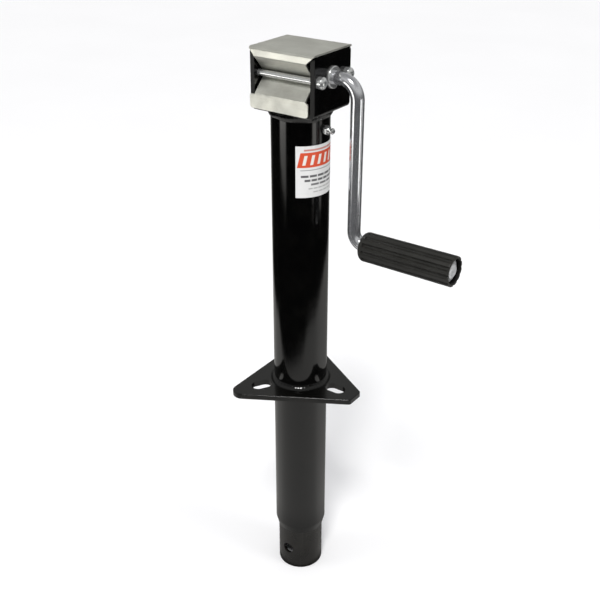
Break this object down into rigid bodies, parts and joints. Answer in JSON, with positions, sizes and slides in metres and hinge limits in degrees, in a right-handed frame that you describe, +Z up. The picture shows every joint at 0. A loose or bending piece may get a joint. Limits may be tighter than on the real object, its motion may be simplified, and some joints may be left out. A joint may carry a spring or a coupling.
{
  "type": "trailer tongue jack",
  "caption": "Side-wind A-frame trailer tongue jack: round tube with a triangular bolt flange, gear head, bent crank with a free-turning grip, and a screw-driven inner leg.",
  "frame": {"origin": "on the tube's axis at the underside of the flange plate", "axes": "+Z up along the tube towards the gear head, +X along the crank shaft towards the crank and grip, -Y towards the front of the gear head"},
  "size_m": [0.2169, 0.1382, 0.6132],
  "materials": {
    "black_paint": "gloss black powder coat",
    "leg_paint": "satin charcoal",
    "zinc_sheet": "bright zinc plated sheet with a faint warm cast",
    "zinc_hardware": "bright zinc",
    "crank_chrome": "bright plated bar",
    "grip_plastic": "moulded, matte",
    "label_vinyl": null,
    "bare_steel": "turned, oiled",
    "gear_steel": "sintered steel, greased",
    "bearing_steel": "ground",
    "bronze": "turned bronze"
  },
  "bodies": {
    "jack_body": {"outer_tube": "black_paint", "mounting_plate": "black_paint", "plate_weld": "black_paint", "gear_housing": "black_paint", "housing_weld": "black_paint", "gear_cover": "zinc_sheet", "cover_screws": "zinc_hardware", "shaft_bush_right": "zinc_hardware", "shaft_bush_left": "zinc_hardware", "grease_fitting": "zinc_hardware", "label": "label_vinyl", "screw_support": "bare_steel", "screw_bush": "bronze", "lower_thrust_race": "bearing_steel"},
    "crank": {"crank_rod": "crank_chrome", "crank_clip": "bearing_steel", "shaft_spacer": "bare_steel", "pinion_gear": "gear_steel", "pinion_pin": "bare_steel", "grip_retainer": "zinc_hardware"},
    "grip": {"crank_grip": "grip_plastic"},
    "screw": {"lead_screw": "bare_steel", "bevel_gear": "gear_steel", "gear_pin": "bare_steel", "upper_thrust_race": "bearing_steel", "screw_stop": "bare_steel", "stop_pin": "bare_steel"},
    "bearing_cage": {"ball_cage": "bearing_steel", "thrust_balls": "bearing_steel"},
    "leg": {"inner_leg": "leg_paint", "drive_nut": "gear_steel", "nut_pins": "bare_steel"}
  },
  "joints": [
    {"name": "crank_turn", "type": "hinge", "parent": "jack_body", "child": "crank", "pos_m": [0, 0, 0.3381], "axis": [-1, 0, 0], "range_deg": [0, 54000]},
    {"name": "screw_spin", "type": "hinge", "parent": "jack_body", "child": "screw", "pos_m": [0, 0, 0.3381], "axis": [0, 0, 1], "range_deg": [0, 32401]},
    {"name": "bearing_cage_spin", "type": "hinge", "parent": "jack_body", "child": "bearing_cage", "pos_m": [0, 0, 0.3117], "axis": [0, 0, 1], "range_deg": [0, 16201]},
    {"name": "leg_slide", "type": "slide", "parent": "jack_body", "child": "leg", "axis": [0, 0, -1], "range_m": [0, 0.3811]},
    {"name": "grip_spin", "type": "hinge", "parent": "crank", "child": "grip", "pos_m": [0.1238, 0, 0.1806], "axis": [1, 0, 0], "continuous": true}
  ],
  "couplings": [
    {"joint": "screw_spin", "follows": "crank_turn", "ratio": 0.6},
    {"joint": "bearing_cage_spin", "follows": "crank_turn", "ratio": 0.3},
    {"joint": "leg_slide", "follows": "crank_turn", "m_per_rad": 0.00040425}
  ]
}
